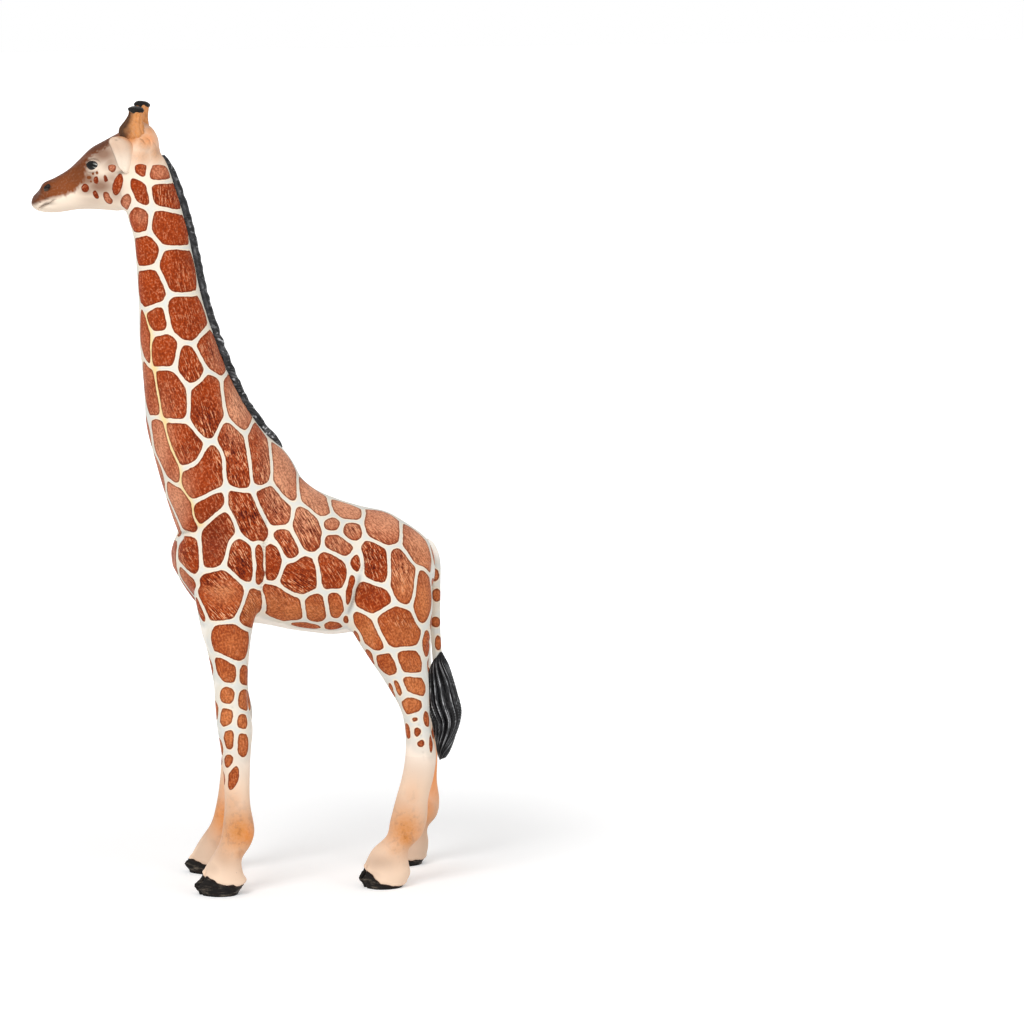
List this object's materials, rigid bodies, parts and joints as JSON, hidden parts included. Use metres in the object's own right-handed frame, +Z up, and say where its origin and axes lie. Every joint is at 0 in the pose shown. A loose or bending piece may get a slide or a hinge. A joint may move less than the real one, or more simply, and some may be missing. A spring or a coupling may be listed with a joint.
{
  "type": "toy giraffe figure",
  "caption": "Standing toy giraffe figure of painted vinyl with a patterned coat, horns, a ridge mane, a tufted tail and cloven hooves.",
  "frame": {"origin": "middle of the figure's footprint box, on the floor that its hooves stand on", "axes": "+Z up the legs and neck, the animal faces -Y and its left side is +X"},
  "size_m": [0.0318, 0.0894, 0.1678],
  "materials": {
    "coat": "satin painted vinyl, red-brown patches on cream",
    "face": "satin painted vinyl, brown fading to cream",
    "horn": "airbrushed orange vinyl with dark tips",
    "cream": "satin cream vinyl",
    "dark": "semi-gloss black paint over grooved vinyl"
  },
  "bodies": {
    "root": {"torso_left_shell": "coat", "torso_right_shell": "coat", "neck": "coat", "head": "face", "horn_left": "horn", "horn_right": "horn", "ear_left": "cream", "ear_right": "cream", "mane": "dark", "tail": "cream", "tail_tuft": "dark", "leg_front_left": "cream", "leg_front_right": "cream", "leg_hind_left": "cream", "leg_hind_right": "cream", "hoof_front_left": "dark", "hoof_front_right": "dark", "hoof_hind_left": "dark", "hoof_hind_right": "dark"}
  },
  "joints": []
}
